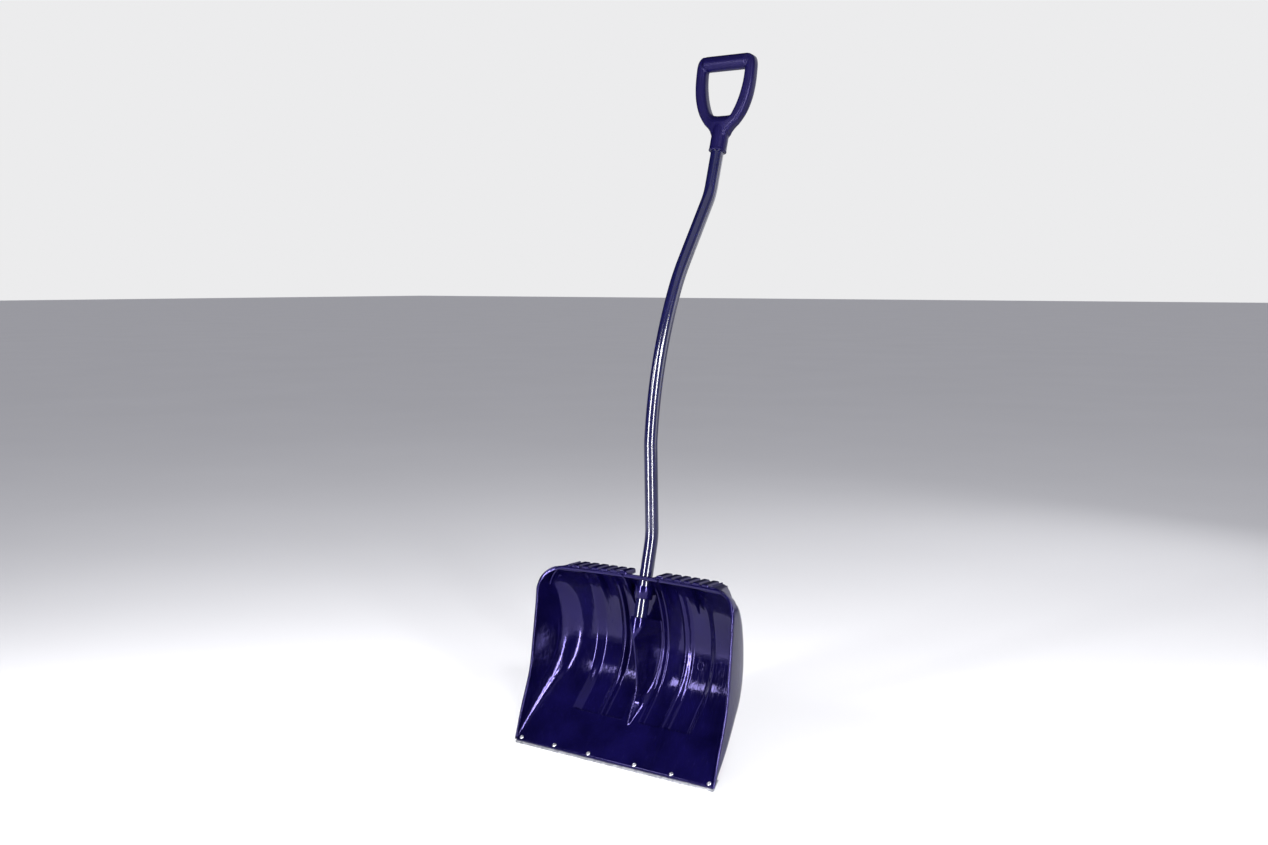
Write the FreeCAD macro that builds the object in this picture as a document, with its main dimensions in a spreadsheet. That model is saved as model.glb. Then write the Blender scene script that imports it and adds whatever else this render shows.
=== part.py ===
"""Snow shovel: moulded scoop, riveted wear strip, bent steel tube handle and D-grip.

Build coordinates, before every piece is shifted to the part's origin: X is across the blade,
Y points from the open front to the back and Z is up. The underside of the wear strip's lower
edge lies on the X axis, and the shovel stands on that edge with its handle upright.
"""
import FreeCAD, Part
import math
import os

import Sketcher

V = FreeCAD.Vector

# alias, value in mm or degrees, what it is
SIZES = [
    ("blade_width", 457.0, "scoop across its front edge"),
    ("wall", 3.5, "thickness of the scoop's walls"),
    ("floor_angle", 44.5, "slope of the floor panel above the ground"),
    ("floor_run", 147.3, "length of the flat floor panel along its slope"),
    ("low_back_radius", 141.9, "lower bend of the scoop's back"),
    ("high_back_radius", 206.0, "upper bend of the scoop's back"),
    ("curl_radius", 45.0, "forward curl under the lip"),
    ("curl_start", 107.0, "slope where the curl begins"),
    ("lip_angle", 136.0, "slope of the curl's last straight stretch"),
    ("lip_top", 337.0, "top of the lip above the ground"),
    ("lip_thick", 4.5, "thickness of the lip"),
    ("lip_middle", 97.0, "front of the lip at the middle"),
    ("lip_end", 80.0, "front of the lip at its ends"),
    ("lip_half", 200.0, "half the length of the lip"),
    ("side_bulge_radius", 354.0, "plan radius of each side wall"),
    ("side_widest", 15.0, "distance back to the widest place of the side walls"),
    ("corner_radius", 35.0, "outer radius between back and side walls"),
    ("lip_corner_radius", 50.0, "rounded ends of the lip, seen from the front"),
    ("corner_taper", 4.0, "the same radius at the scoop's lower corners"),
    ("rim_depth", 7.0, "thickened rim along the front of a side wall"),
    ("rim_thick", 6.5, "thickness of that rim"),
    ("channel_depth", 9.0, "depth of the channels pressed into the back"),
    ("channel_foot", 94.0, "distance up the floor panel to the channels' lower ends"),
    ("inner_channel_near", 25.5, "inner channel, side near the middle"),
    ("inner_channel_far", 62.5, "inner channel, side away from the middle"),
    ("outer_channel_near", 77.5, "outer channel, side near the middle"),
    ("outer_channel_far", 131.5, "outer channel, side away from the middle"),
    ("keel_crest_half", 4.5, "half width of the keel at its crest"),
    ("keel_root_half", 19.0, "half width of the keel at the back"),
    ("socket_radius", 16.4, "outside of the socket that holds the tube"),
    ("socket_foot", 218.0, "height of the socket's lower end"),
    ("socket_top", 258.9, "height of the socket's mouth"),
    ("collar_radius", 17.5, "collar where the tube passes through the curl"),
    ("collar_foot", 292.0, "height of the collar's lower end"),
    ("step_near", 31.0, "foot step, end near the middle"),
    ("step_far", 180.0, "foot step, end away from the middle"),
    ("step_depth", 36.0, "foot step, front to back"),
    ("step_plate", 4.0, "thickness of the foot step's plate"),
    ("tread_count", 7.0, "tread ridges on each foot step"),
    ("tread_gap", 7.0, "gap between tread ridges"),
    ("step_above", 1.5, "top of the foot step's plate above the lip"),
    ("tread_rise", 3.0, "height of a tread ridge"),
    ("gusset_thick", 3.0, "ribs under the foot steps"),
    ("gusset_inset", 8.0, "first rib from the near end of its step"),
    ("gusset_pitch", 66.0, "from one rib to the next"),
    ("strip_thick", 1.5, "sheet thickness of the wear strip"),
    ("strip_short", 2.0, "how far each end of the wear strip stops short of the side"),
    ("strip_depth", 24.0, "wear strip, front to back"),
    ("strip_lead", 4.5, "how far the wear strip stands out past the scoop"),
    ("rivet_run", 12.0, "rivets, distance up from the strip's edge"),
    ("rivet_near", 52.8, "first rivet from the middle"),
    ("rivet_mid", 134.0, "second rivet from the middle"),
    ("rivet_far", 214.5, "third rivet from the middle"),
    ("rivet_head_radius", 4.2, "rivet flange"),
    ("rivet_head_high", 1.3, "height of the rivet flange"),
    ("rivet_shank_radius", 2.0, "rivet shank"),
    ("rivet_tail_radius", 3.2, "set tail of the rivet"),
    ("rivet_tail_high", 3.0, "height of the set tail"),
    ("mandrel_radius", 1.1, "broken mandrel inside the rivet"),
    ("tube_radius", 12.7, "handle tube, outside"),
    ("tube_wall", 1.2, "handle tube, wall"),
    ("tube_foot_back", 89.8, "tube's lower end, distance back"),
    ("tube_foot_high", 233.0, "tube's lower end, height"),
    ("tube_lean_foot", 14.4, "lean of the lowest stretch, backwards from upright"),
    ("tube_run_foot", 162.0, "length of the lowest stretch"),
    ("tube_lean_low", -1.5, "lean of the lower straight"),
    ("tube_run_low", 152.1, "length of the lower straight"),
    ("tube_lean_mid", 5.0, "lean where the long bow starts"),
    ("tube_bow_radius", 795.0, "first part of the long bow"),
    ("tube_lean_bow", 26.0, "lean where the bow tightens"),
    ("tube_bend_radius", 408.0, "second part of the long bow"),
    ("tube_lean_top", 34.4, "lean of the upper straight"),
    ("tube_run_top", 139.7, "length of the upper straight"),
    ("tube_lean_grip", 17.0, "lean of the stretch inside the grip"),
    ("tube_run_grip", 105.6, "length of the stretch that ends in the grip"),
    ("tube_knee_radius", 120.0, "the three small bends"),
    ("bore_clearance", 0.05, "gap around the tube in socket and ferrule"),
    ("hole_clearance", 0.5, "gap around the tube in the collar"),
    ("ferrule_radius", 17.0, "outside of the grip's ferrule"),
    ("ferrule_run", 37.0, "length of tube inside the ferrule"),
    ("ferrule_cap", 11.0, "solid end of the ferrule past the tube"),
    ("grip_lean", 9.75, "lean of the D"),
    ("grip_depth", 24.0, "D, front to back"),
    ("grip_half_width", 66.5, "half the width of the D"),
    ("grip_round", 6.0, "rounding of the D's edges"),
    ("grip_bar_radius", 15.5, "cross bar"),
    ("grip_bar_rise", 103.5, "cross bar above the bottom of the hand opening"),
    ("grip_bar_half", 45.0, "half length of the cross bar"),
    ("grip_base_rise", 33.9, "hand opening above the ferrule's neck"),
    ("screw_head_radius", 4.0, "pan head of the fixing screws"),
    ("screw_head_high", 2.4, "height of the pan head"),
    ("screw_radius", 2.0, "thread of the fixing screws"),
    ("screw_length", 9.0, "length under the head"),
    ("origin_back", 200.77, "from the strip's edge to the part's origin"),
]

doc = FreeCAD.newDocument("SnowShovel")
sheet = doc.addObject("Spreadsheet::Sheet", "Sizes")
for row, (alias, value, meaning) in enumerate(SIZES, start=1):
    sheet.set("A%d" % row, meaning)
    sheet.set("B%d" % row, str(value))
    sheet.setAlias("B%d" % row, alias)
doc.recompute()


def size(alias):
    return float(sheet.get(alias))


def bound(obj, **formulas):
    """Bind properties of an object to formulas of the sheet's cells."""
    for prop, formula in formulas.items():
        obj.setExpression(prop.replace("__", "."), formula)
    return obj


# ---------------------------------------------------------------- outlines in a plane

def heading(degrees):
    angle = math.radians(degrees)
    return V(math.cos(angle), math.sin(angle), 0)


def arc_from(start, from_deg, to_deg, radius):
    """Arc that leaves start at one heading and ends at another, turning by the shorter way."""
    side = 1 if to_deg > from_deg else -1
    centre = start + heading(from_deg + side * 90) * radius
    middle = centre + heading((from_deg + to_deg) / 2 - side * 90) * radius
    end = centre + heading(to_deg - side * 90) * radius
    return Part.Arc(start, middle, end), end


def rounded(points, radii, closed=True):
    """Straight runs through the points with a tangent arc of the given radius at each one."""
    count = len(points)
    corners = [V(p[0], p[1], 0) for p in points]
    trims = []
    for i, radius in enumerate(radii):
        if radius == 0 or (not closed and i in (0, count - 1)):
            trims.append((corners[i], corners[i], None))
            continue
        back = (corners[i - 1] - corners[i]).normalize()
        ahead = (corners[(i + 1) % count] - corners[i]).normalize()
        half = math.acos(max(-1, min(1, back.dot(ahead)))) / 2
        reach = radius / math.tan(half)
        bisector = (back + ahead).normalize()
        middle = corners[i] + bisector * (radius / math.sin(half) - radius)
        trims.append((corners[i] + back * reach, corners[i] + ahead * reach, middle))
    edges = []
    for i in range(count):
        arrive, leave, middle = trims[i]
        if middle is not None:
            edges.append(Part.Arc(arrive, middle, leave))
        if closed or i < count - 1:
            following = trims[(i + 1) % count][0]
            if leave.distanceToPoint(following) > 1e-6:
                edges.append(Part.LineSegment(leave, following))
    return edges


def floor_point(run, depth):
    """Point on the floor panel: run up its slope, depth below its upper surface."""
    along = heading(size("floor_angle"))
    down = heading(size("floor_angle") - 90)
    strip_to_face = size("strip_thick") + size("wall")
    return along * run + down * (depth - strip_to_face)


def back_profile(depth, start_run, end_high):
    """Floor panel, back and curl as one tangent chain, depth behind the face."""
    edges = []
    point = floor_point(size("floor_run"), depth)
    edges.append(Part.LineSegment(floor_point(start_run, depth), point))
    bends = [
        (size("floor_angle"), 90.0, size("low_back_radius")),
        (90.0, size("curl_start"), size("high_back_radius")),
        (size("curl_start"), size("lip_angle"), size("curl_radius")),
    ]
    for from_deg, to_deg, radius in bends:
        edge, point = arc_from(point, from_deg, to_deg, radius + depth)
        edges.append(edge)
    last = heading(size("lip_angle"))
    edges.append(Part.LineSegment(point, point + last * ((end_high - point.y) / last.y)))
    return edges


def closed_by(edges, points):
    """Close a chain of edges with straight runs through more points."""
    path = [edges[-1].EndPoint] + [V(p[0], p[1], 0) for p in points] + [edges[0].StartPoint]
    closing = []
    for start, end in zip(path, path[1:]):
        if start.distanceToPoint(end) > 1e-6:
            closing.append(Part.LineSegment(start, end))
    return edges + closing


# ---------------------------------------------------------------- building blocks

PLANES = {
    "YZ": FreeCAD.Rotation(V(0, 1, 0), V(0, 0, 1), V(1, 0, 0)),
    "XZ": FreeCAD.Rotation(V(1, 0, 0), V(0, 0, 1), V(0, -1, 0)),
    "XY": FreeCAD.Rotation(),
}


def sketch_on(plane, name, edges, offset=0.0):
    sketch = doc.addObject("Sketcher::SketchObject", name)
    rotation = PLANES[plane]
    sketch.Placement = FreeCAD.Placement(rotation.multVec(V(0, 0, offset)), rotation)
    sketch.addGeometry(edges, False)
    return sketch


def slab(name, plane, edges, near, far):
    """Outline pushed out square to its plane, from one distance to another (formulas)."""
    sketch = sketch_on(plane, name + "_outline", edges)
    body = doc.addObject("Part::Extrusion", name)
    body.Base = sketch
    body.DirMode = "Normal"
    body.Solid = True
    return bound(body, LengthFwd=far, LengthRev="-(%s)" % near)


def fused(name, shapes):
    joined = doc.addObject("Part::MultiFuse", name)
    joined.Shapes = shapes
    return joined


def common(name, shapes):
    shared = doc.addObject("Part::MultiCommon", name)
    shared.Shapes = shapes
    return shared


def cut(name, base, tool):
    result = doc.addObject("Part::Cut", name)
    result.Base = base
    result.Tool = tool
    return result


def rod(name, start, direction, **formulas):
    """Cylinder from a point along a direction; its radius and height are formulas."""
    cylinder = doc.addObject("Part::Cylinder", name)
    turn = FreeCAD.Rotation(V(0, 0, 1), direction)
    cylinder.Placement = FreeCAD.Placement(start, turn)
    return bound(cylinder, **formulas)


def mirrored(name, source):
    copy = doc.addObject("Part::Mirroring", name)
    copy.Source = source
    copy.Normal = V(1, 0, 0)
    return copy


def finish(obj, label):
    """Name a finished piece and shift it to the part's origin."""
    obj.Label = label
    bound(obj, Placement__Base__y="-Sizes.origin_back")
    PIECES.append(obj)


PIECES = []

# ---------------------------------------------------------------- handle tube

def tube_path():
    """Centre line of the tube as edges, with the point and heading at each straight."""
    stretches = [
        ("run", size("tube_lean_foot"), size("tube_run_foot")),
        ("turn", size("tube_lean_low"), size("tube_knee_radius")),
        ("run", size("tube_lean_low"), size("tube_run_low")),
        ("turn", size("tube_lean_mid"), size("tube_knee_radius")),
        ("turn", size("tube_lean_bow"), size("tube_bow_radius")),
        ("turn", size("tube_lean_top"), size("tube_bend_radius")),
        ("run", size("tube_lean_top"), size("tube_run_top")),
        ("turn", size("tube_lean_grip"), size("tube_knee_radius")),
        ("run", size("tube_lean_grip"), size("tube_run_grip")),
    ]
    point = V(size("tube_foot_back"), size("tube_foot_high"), 0)
    lean = size("tube_lean_foot")
    edges = []
    for kind, value, measure in stretches:
        if kind == "run":
            end = point + heading(90 - value) * measure
            edges.append(Part.LineSegment(point, end))
            point = end
        else:
            edge, point = arc_from(point, 90 - lean, 90 - value, measure)
            edges.append(edge)
            lean = value
    return edges


def in_space(point):
    """Point of a YZ outline as a point of space."""
    return V(0, point.x, point.y)


def origin_plane(body, role):
    for feature in body.Origin.OriginFeatures:
        if feature.Role == role:
            return feature
    raise ValueError("no plane " + role)


TUBE_EDGES = tube_path()
TUBE_FOOT = in_space(TUBE_EDGES[0].StartPoint)
TUBE_FOOT_WAY = (in_space(TUBE_EDGES[0].EndPoint) - TUBE_FOOT).normalize()
TUBE_TOP = in_space(TUBE_EDGES[-1].EndPoint)
TUBE_TOP_WAY = (TUBE_TOP - in_space(TUBE_EDGES[-1].StartPoint)).normalize()


def on_foot_axis(high):
    """Point of the lowest stretch's axis at a height."""
    return TUBE_FOOT + TUBE_FOOT_WAY * ((high - TUBE_FOOT.z) / TUBE_FOOT_WAY.z)


def square_back(way):
    """Direction square to a tube stretch, in the mid-plane, pointing backwards."""
    return V(0, way.z, -way.y)


SOCKET_SCREW_AT = on_foot_axis(245.0)
GRIP_SCREW_AT = TUBE_TOP - TUBE_TOP_WAY * 18.0


def screw_hole(name, at, way):
    """Drill for a fixing screw, through one wall behind the tube's axis."""
    return rod(name, at, square_back(way), Radius="Sizes.screw_radius",
               Height="Sizes.ferrule_radius + 5")


def make_tube():
    body = doc.addObject("PartDesign::Body", "TubeBody")
    path = body.newObject("Sketcher::SketchObject", "TubePath")
    path.AttachmentSupport = [(origin_plane(body, "YZ_Plane"), "")]
    path.MapMode = "FlatFace"
    path.addGeometry(TUBE_EDGES, False)
    section = body.newObject("Sketcher::SketchObject", "TubeSection")
    section.AttachmentSupport = [(origin_plane(body, "XY_Plane"), "")]
    section.MapMode = "FlatFace"
    section.AttachmentOffset = FreeCAD.Placement(
        TUBE_FOOT, FreeCAD.Rotation(V(0, 0, 1), TUBE_FOOT_WAY))
    for index, formula in enumerate(("Sizes.tube_radius", "Sizes.tube_radius - Sizes.tube_wall")):
        radius = size("tube_radius") - index * size("tube_wall")
        section.addGeometry(Part.Circle(V(0, 0, 0), V(0, 0, 1), radius), False)
        section.addConstraint(Sketcher.Constraint("Coincident", index, 3, -1, 1))
        number = section.addConstraint(Sketcher.Constraint("Radius", index, radius))
        section.setExpression("Constraints[%d]" % number, formula)
    pipe = body.newObject("PartDesign::AdditivePipe", "TubePipe")
    pipe.Profile = section
    pipe.Spine = path
    pipe.Mode = "Frenet"
    holes = fused("TubeHoles", [
        screw_hole("TubeFootHole", SOCKET_SCREW_AT, TUBE_FOOT_WAY),
        screw_hole("TubeTopHole", GRIP_SCREW_AT, TUBE_TOP_WAY),
    ])
    finish(cut("Tube", body, holes), "handle_tube")


# ---------------------------------------------------------------- scoop



def plan_barrel(inset):
    """Plan outline of the block between the side walls, which bulge as arcs."""
    half = size("blade_width") / 2 - inset
    radius = size("side_bulge_radius") - inset
    widest = size("side_widest")
    reach = 190.0
    narrow = half - radius + math.sqrt(radius ** 2 - reach ** 2)
    right = Part.Arc(V(narrow, widest - reach, 0), V(half, widest, 0), V(narrow, widest + reach, 0))
    left = Part.Arc(V(-narrow, widest + reach, 0), V(-half, widest, 0), V(-narrow, widest - reach, 0))
    back = Part.LineSegment(right.EndPoint, left.StartPoint)
    front = Part.LineSegment(left.EndPoint, right.StartPoint)
    return [right, back, left, front]


BELOW = -12.0
ABOVE = 460.0


def scoop_block(name, depth):
    """Filled scoop, depth behind the face, its edges between back and sides rounded."""
    chain = back_profile(depth, BELOW, ABOVE)
    edges = closed_by(chain, [(-170.0, ABOVE), (-170.0, -70.0)])
    profile = slab(name + "_profile", "YZ", edges, "-320", "320")
    barrel = slab(name + "_plan", "XY", plan_barrel(size("wall") - depth), "-100", "500")
    block = common(name + "_block", [profile, barrel])
    doc.recompute()
    wire = Part.Wire([edge.toShape() for edge in chain])
    radius = size("corner_radius") - (size("wall") - depth)
    picked = []
    for index, edge in enumerate(block.Shape.Edges, start=1):
        middle = edge.valueAt((edge.FirstParameter + edge.LastParameter) / 2)
        spot = Part.Vertex(V(middle.y, middle.z, 0))
        across = abs(edge.Vertexes[0].X - edge.Vertexes[-1].X)
        if spot.distToShape(wire)[0] < 0.01 and across < 100.0:
            low_end = radius
            if edge.BoundBox.ZMin < 0:
                low_end = size("corner_taper") - (size("wall") - depth) / 4
            lower_first = edge.Vertexes[0].Z < edge.Vertexes[-1].Z
            pair = (low_end, radius) if lower_first else (radius, low_end)
            picked.append((index,) + pair)
    smooth = doc.addObject("Part::Fillet", name)
    smooth.Base = block
    smooth.Edges = picked
    return smooth


def front_region():
    """Everything behind the side walls' front edges and the scoop's lower edge."""
    lead = size("strip_lead")
    heel = floor_point(lead, 40.0)
    toe = floor_point(lead, -2.0)
    points = [(heel.x, heel.y), (toe.x, toe.y), (44.0, 133.0), (61.0, 262.0), (63.0, 298.0),
              (82.0, 338.0), (82.0, 420.0), (400.0, 420.0), (400.0, -60.0)]
    return rounded(points, [0, 0, 200.0, 200.0, 20.0, 0, 0, 0, 0])


def rim_region():
    """Strip just behind the side walls' front edges."""
    depth = size("rim_depth")
    points = [(floor_point(30.0, 0).x - 3, floor_point(30.0, 0).y), (44.0, 133.0), (61.0, 262.0),
              (63.0, 298.0), (76.0, 325.0)]
    front = rounded(points, [0, 200.0, 200.0, 20.0, 0], closed=False)
    back = [(p[0] + depth, p[1]) for p in reversed(points)]
    return closed_by(front, back)


def bow_arc(push):
    """Front of the bowed lip in plan, pushed back by a distance."""
    half = size("lip_half")
    end = V(half, size("lip_end") + push, 0)
    middle = V(0, size("lip_middle") + push, 0)
    return Part.Arc(V(-end.x, end.y, 0), middle, end)


def lip_band():
    front = bow_arc(0)
    back = bow_arc(size("lip_thick"))
    return [front, Part.LineSegment(front.EndPoint, back.EndPoint), Part.Arc(
        back.EndPoint, V(0, size("lip_middle") + size("lip_thick"), 0), back.StartPoint),
        Part.LineSegment(back.StartPoint, front.StartPoint)]


def front_outline(inset):
    """Front view of the scoop with its rounded top corners."""
    half = size("blade_width") / 2 - inset
    top = size("lip_top") - inset
    radius = size("lip_corner_radius") - inset
    return rounded([(-half, -20.0), (half, -20.0), (half, top), (-half, top)],
                   [0, 0, radius, radius])


def channel(name, depth, near, far):
    """Region between the face and a parallel surface behind it, over part of the width."""
    foot = size("channel_foot") - (depth - size("channel_depth"))
    chain = back_profile(depth, foot, size("lip_top") - 6.0)
    ahead = back_profile(-20.0, foot, size("lip_top") - 6.0)
    edges = closed_by(chain, [(ahead[-1].EndPoint.x, ahead[-1].EndPoint.y)]
                      + [(0.0, 250.0), (ahead[0].StartPoint.x, ahead[0].StartPoint.y)])
    return slab(name, "YZ", edges, near, far)


def keel_region(inset):
    """Side view of the keel, its crest moved back by an inset."""
    crest = [(50.0, 62.0), (79.0, 112.0), (84.5, 142.0), (80.5, 184.0), (73.5, 222.0),
             (86.0, 262.0 - inset), (150.0, 262.0 - inset), (200.0, 222.0), (200.0, 62.0)]
    radii = [0, 60.0, 80.0, 80.0, 6.0, 0, 0, 0, 0]
    return rounded([(y + (inset if y < 100 else 0), z) for y, z in crest], radii)


def keel_wedge(inset):
    """Plan of the keel: narrow at the crest, wide at the back."""
    crest = size("keel_crest_half") - inset * 0.9
    root = size("keel_root_half") - inset
    corners = [(-crest, 60.0), (crest, 60.0), (root, 146.0), (root, 210.0), (-root, 210.0),
               (-root, 146.0)]
    return rounded(corners, [0] * len(corners))


def step_plan(side):
    """Plan of one foot step with rounded rear corners."""
    near, far = size("step_near") * side, size("step_far") * side
    front_near = size("lip_middle") + 1.0
    rear = front_near + size("step_depth")
    front_far = size("lip_end") + 2.0
    points = [(near, front_near), (far, front_far), (far, rear - 12.0), (near, rear)]
    return rounded(points, [0, 0, 14.0, 14.0])


def step_side():
    """Front view of a foot step: a plate with tread ridges on it."""
    near, far = size("step_near"), size("step_far")
    top = size("lip_top") + size("step_above")
    under = top - size("step_plate")
    count = int(size("tread_count"))
    pitch = (far - near) / count
    gap, rise = size("tread_gap"), size("tread_rise")
    points = [(near, under)]
    for index in range(count):
        start = near + index * pitch + gap / 2
        points += [(start, top), (start + 1.5, top + rise), (start + pitch - gap - 1.5, top + rise),
                   (start + pitch - gap, top)]
    points += [(far, under)]
    points[1] = (near, top)
    points[-2] = (far, top)
    return rounded(points, [0] * len(points))


def gusset_side():
    """Side view of a rib between the foot step and the back of the curl."""
    top = size("lip_top")
    rear = size("lip_middle") + size("step_depth") - 8.0
    return rounded([(86.0, top), (rear, top), (rear + 3.0, 300.0), (136.0, 268.0), (100.0, 290.0)],
                   [0] * 5)


def floor_at(across, run, depth):
    """Point of space on or behind the floor panel."""
    point = floor_point(run, depth)
    return V(across, point.x, point.y)


FLOOR_DOWN = in_space(heading(size("floor_angle") - 90))
RIVETS = [side * size(place) for side in (-1, 1)
          for place in ("rivet_near", "rivet_mid", "rivet_far")]


def rivet_holes(name):
    """Drills for the six rivets, right through scoop and strip."""
    return [rod("%s%d" % (name, i), floor_at(across, size("rivet_run"), -20.0), FLOOR_DOWN,
                Radius="Sizes.rivet_shank_radius", Height="60") for i, across in enumerate(RIVETS)]


def make_scoop():
    outer = scoop_block("Outer", size("wall"))
    inner = scoop_block("Inner", 0.0)
    behind = slab("BehindFront", "YZ", front_region(), "-320", "320")
    front_view = slab("FrontView", "XZ", front_outline(0), "-400", "400")
    skins = [common("ScoopFilled", [outer, behind, front_view])]
    hollows = [inner]
    deep = size("channel_depth")
    for where in ("inner", "outer"):
        near, far = "Sizes.%s_channel_near" % where, "Sizes.%s_channel_far" % where
        skin = channel(where + "ChannelSkin", deep + size("wall"), near + " - Sizes.wall",
                       far + " + Sizes.wall")
        hollow = channel(where + "ChannelHollow", deep, near, far)
        skins += [skin, mirrored(where + "ChannelSkinLeft", skin)]
        hollows += [hollow, mirrored(where + "ChannelHollowLeft", hollow)]

    skins.append(common("LipBand", [slab("LipBow", "XY", lip_band(), "290", "Sizes.lip_top"),
                                    front_view]))
    step = common("StepRight", [slab("StepPlan", "XY", step_plan(1), "300", "400"),
                                slab("StepTreads", "XZ", step_side(), "-400", "400")])
    skins += [step, mirrored("StepLeft", step)]
    for rib in range(3):
        at = size("step_near") + size("gusset_inset") + rib * size("gusset_pitch")
        gusset = slab("Gusset%d" % rib, "YZ", gusset_side(), "%g" % at,
                      "%g + Sizes.gusset_thick" % at)
        skins += [gusset, mirrored("GussetLeft%d" % rib, gusset)]

    half_front = closed_by([bow_arc(0)], [(size("lip_half"), -200.0), (-size("lip_half"), -200.0)])
    ahead_of_lip = slab("AheadOfLip", "XY", half_front, "288", "Sizes.lip_top + 1")
    emptied = cut("ScoopOpen", fused("ScoopSkins", skins),
                  fused("ScoopSpace", hollows + [ahead_of_lip]))

    rim = slab("RimStrip", "YZ", rim_region(), "Sizes.blade_width / 2 - Sizes.rim_thick", "300")
    rims = [common("RimRight", [rim, outer, behind, front_view]),
            common("RimLeft", [mirrored("RimStripLeft", rim), outer, behind, front_view])]
    keel = common("Keel", [slab("KeelSide", "YZ", keel_region(0.0), "-60", "60"),
                           slab("KeelPlan", "XY", keel_wedge(0.0), "40", "280"), outer])
    cavity = common("KeelCavity", [
        slab("KeelCavitySide", "YZ", keel_region(size("wall") + 0.5), "-60", "60"),
        slab("KeelCavityPlan", "XY", keel_wedge(size("wall")), "84", "280")])
    keeled = cut("ScoopKeel", fused("ScoopKeelFilled", [emptied, keel] + rims), cavity)

    socket = rod("SocketBody", on_foot_axis(size("socket_foot")), TUBE_FOOT_WAY,
                 Radius="Sizes.socket_radius",
                 Height="(Sizes.socket_top - Sizes.socket_foot) / cos(Sizes.tube_lean_foot * 1 deg)")
    collar = rod("Collar", on_foot_axis(size("collar_foot")), TUBE_FOOT_WAY,
                 Radius="Sizes.collar_radius", Height="24")
    drills = rivet_holes("ScoopRivetHole") + [
        rod("SocketBore", TUBE_FOOT, TUBE_FOOT_WAY, Height="Sizes.socket_top",
            Radius="Sizes.tube_radius + Sizes.bore_clearance"),
        rod("CollarBore", on_foot_axis(270.0), TUBE_FOOT_WAY, Height="120",
            Radius="Sizes.tube_radius + Sizes.hole_clearance"),
        screw_hole("SocketScrewHole", SOCKET_SCREW_AT, TUBE_FOOT_WAY),
        screw_seat("SocketScrewSeat", SOCKET_SCREW_AT, TUBE_FOOT_WAY, "socket_radius"),
    ]
    finish(cut("Scoop", fused("ScoopSocket", [keeled, socket, collar]),
               fused("ScoopDrills", drills)), "blade_scoop")


# ---------------------------------------------------------------- wear strip and rivets

def make_strip():
    low, high = 0.0, size("strip_depth")
    deep = size("wall")
    corners = [floor_point(low, deep), floor_point(high, deep),
               floor_point(high, deep + size("strip_thick")),
               floor_point(low, deep + size("strip_thick"))]
    edges = rounded([(c.x, c.y) for c in corners], [0] * 4)
    strip = slab("StripSheet", "YZ", edges, "Sizes.strip_short - Sizes.blade_width / 2",
                 "Sizes.blade_width / 2 - Sizes.strip_short")
    finish(cut("Strip", strip, fused("StripDrills", rivet_holes("StripHole"))), "wear_strip")


def make_rivets():
    run = size("rivet_run")
    grip = size("wall") + size("strip_thick")
    bodies, mandrels, bores = [], [], []
    for i, across in enumerate(RIVETS):
        face, tail = floor_at(across, run, 0.0), floor_at(across, run, grip)
        bodies.append(rod("RivetFlange%d" % i, face, FLOOR_DOWN * -1,
                          Radius="Sizes.rivet_head_radius", Height="Sizes.rivet_head_high"))
        bodies.append(rod("RivetShank%d" % i, face, FLOOR_DOWN, Radius="Sizes.rivet_shank_radius",
                          Height="Sizes.wall + Sizes.strip_thick"))
        bodies.append(rod("RivetTail%d" % i, tail, FLOOR_DOWN, Radius="Sizes.rivet_tail_radius",
                          Height="Sizes.rivet_tail_high"))
        low = tail + FLOOR_DOWN * size("rivet_tail_high")
        bores.append(rod("RivetBore%d" % i, low, FLOOR_DOWN * -1,
                         Radius="Sizes.mandrel_radius", Height="40"))
        mandrels.append(rod("Mandrel%d" % i, low, FLOOR_DOWN * -1, Radius="Sizes.mandrel_radius",
                            Height="Sizes.wall + Sizes.strip_thick + Sizes.rivet_tail_high"))
    finish(cut("Rivets", fused("RivetsSolid", bodies), fused("RivetBores", bores)),
           "strip_rivet_bodies")
    finish(fused("Mandrels", mandrels), "strip_rivet_mandrels")


# ---------------------------------------------------------------- grip and screws

GRIP_NECK = TUBE_TOP + TUBE_TOP_WAY * 4.0


def d_outline():
    """Outside of the D: neck, arms that bow outwards, rounded top corners."""
    half, neck = size("grip_half_width"), size("ferrule_radius") - 2.0
    top = size("grip_base_rise") + size("grip_bar_rise") + size("grip_bar_radius")
    side = [(neck, -4.0), (neck + 3.0, 3.0), (40.0, 20.0), (56.0, 46.0), (64.0, 76.0),
            (half + 0.5, 106.0), (half - 1.5, top)]
    radii = [0, 14.0, 60.0, 80.0, 80.0, 60.0, 15.0]
    other = [(-across, rise) for across, rise in reversed(side)]
    return rounded(side + other, radii + radii[::-1])


def d_opening():
    """Hand opening of the D, with the cross bar laid over its top."""
    base = size("grip_base_rise")
    bar = base + size("grip_bar_rise")
    side = [(23.0, base), (34.0, base + 12.0), (43.0, base + 38.0), (47.0, base + 68.0),
            (46.0, bar)]
    radii = [8.0, 40.0, 60.0, 60.0, 10.0]
    other = [(-across, rise) for across, rise in reversed(side)]
    return rounded(side + other, radii + radii[::-1])


def in_grip(across, rise):
    """Point of the D's mid-plane in space."""
    lean = math.radians(size("grip_lean"))
    return GRIP_NECK + V(across, rise * math.sin(lean), rise * math.cos(lean))


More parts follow.
